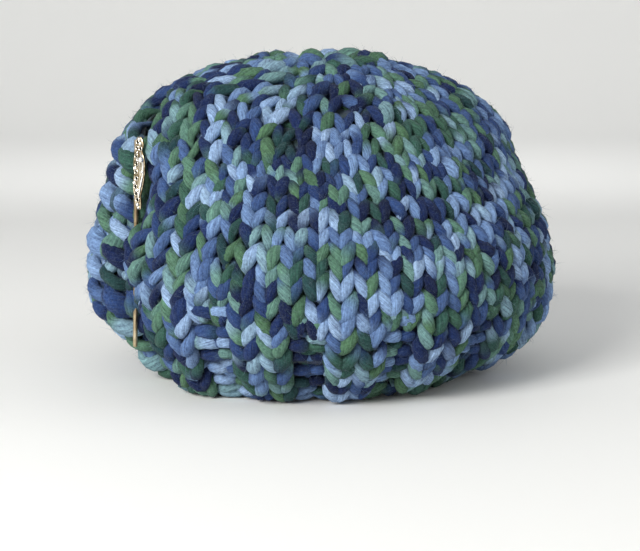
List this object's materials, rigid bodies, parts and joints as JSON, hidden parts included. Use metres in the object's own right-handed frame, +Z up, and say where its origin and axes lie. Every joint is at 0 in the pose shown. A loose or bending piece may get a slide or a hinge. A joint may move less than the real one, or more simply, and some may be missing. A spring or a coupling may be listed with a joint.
{
  "type": "tea cosy",
  "caption": "Domed tea cosy hand knitted in very thick variegated wool, open at the foot, with holes for knob, spout and handle, closed by a shawl pin.",
  "frame": {"origin": "on the surface that the cosy stands on, at the middle of the hem", "axes": "+Z up through the knob hole; -X towards the spout; +X towards the handle"},
  "size_m": [0.2529, 0.2517, 0.172],
  "materials": {
    "wool": "matt and fuzzy thick wool, space dyed in light blue, mid blue, navy, teal and moss green",
    "aged_brass": "drawn wire, slightly tarnished",
    "antique_silver": "cast and polished on its high places, dark in its hollows"
  },
  "bodies": {
    "root": {"cosy_knit": "wool", "pin_needle": "aged_brass", "pin_head": "antique_silver"}
  },
  "joints": []
}
